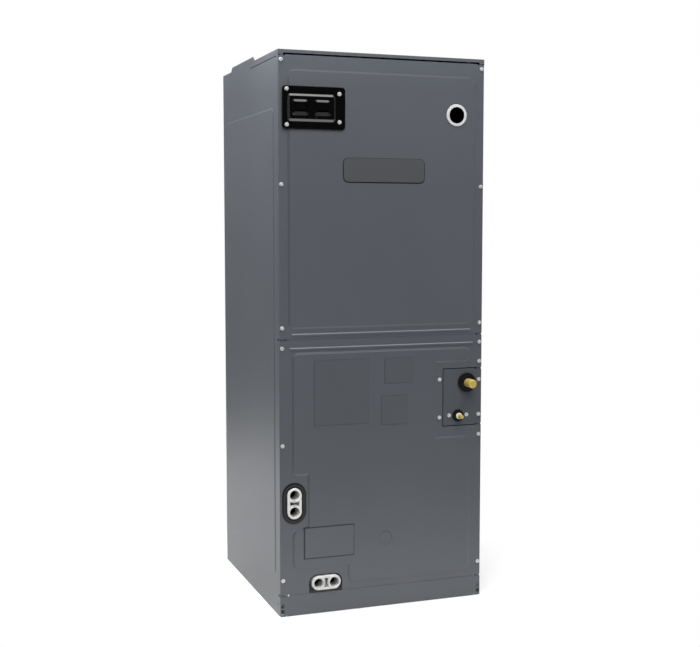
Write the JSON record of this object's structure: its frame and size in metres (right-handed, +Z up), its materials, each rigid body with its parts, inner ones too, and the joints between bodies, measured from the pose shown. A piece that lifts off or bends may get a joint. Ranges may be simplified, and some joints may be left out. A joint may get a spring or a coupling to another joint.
{
  "type": "air handling unit",
  "caption": "Upright cabinet air handler with folded sheet panels, an open duct flange on top, a return opening below, drain fittings and refrigerant stubs.",
  "frame": {"origin": "on the floor, under the middle of the cabinet", "axes": "+Z up, the access panels face -Y, +X to the right seen from the front"},
  "size_m": [0.5358, 0.5768, 1.3675],
  "materials": {
    "cabinet_paint": "semi-gloss dark blue-grey baked paint",
    "badge_finish": "satin dark grey",
    "galvanised_sheet": "galvanised",
    "black_plastic": "moulded black",
    "white_plastic": "moulded white",
    "rubber": "moulded rubber",
    "tube_brass": "plain drawn",
    "foil_lining": "foil-faced lining",
    "coil_fins": "plate fins"
  },
  "bodies": {
    "root": {"left_side_panel": "cabinet_paint", "right_side_panel": "cabinet_paint", "rear_panel": "cabinet_paint", "top_front_cap": "cabinet_paint", "top_rear_strip": "cabinet_paint", "base_rail_left": "cabinet_paint", "base_rail_right": "cabinet_paint", "base_rail_rear": "cabinet_paint", "header_rail": "galvanised_sheet", "mid_rail": "galvanised_sheet", "sill_rail": "galvanised_sheet", "upper_access_panel": "cabinet_paint", "lower_access_panel": "cabinet_paint", "filter_access_door": "cabinet_paint", "line_set_plate": "cabinet_paint", "breaker_cover": "black_plastic", "cable_bushing": "white_plastic", "badge_plate": "badge_finish", "suction_grommet": "rubber", "liquid_grommet": "rubber", "suction_stub": "tube_brass", "liquid_stub": "tube_brass", "liquid_collar": "white_plastic", "drain_gasket": "rubber", "upper_drain_fitting": "white_plastic", "lower_drain_fitting": "white_plastic", "liner_left": "foil_lining", "liner_right": "foil_lining", "liner_rear": "foil_lining", "control_partition": "galvanised_sheet", "blower_deck": "galvanised_sheet", "blower_wrap": "galvanised_sheet", "blower_side_left": "galvanised_sheet", "blower_side_right": "galvanised_sheet", "blower_wheel": "galvanised_sheet", "blower_motor": "galvanised_sheet", "coil_slab_left": "coil_fins", "coil_slab_right": "coil_fins", "coil_apex_plate": "galvanised_sheet", "coil_end_plates": "galvanised_sheet", "drain_pan": "black_plastic", "side_drain_pan": "black_plastic", "pan_rails": "galvanised_sheet", "filter_rails": "galvanised_sheet"}
  },
  "joints": []
}
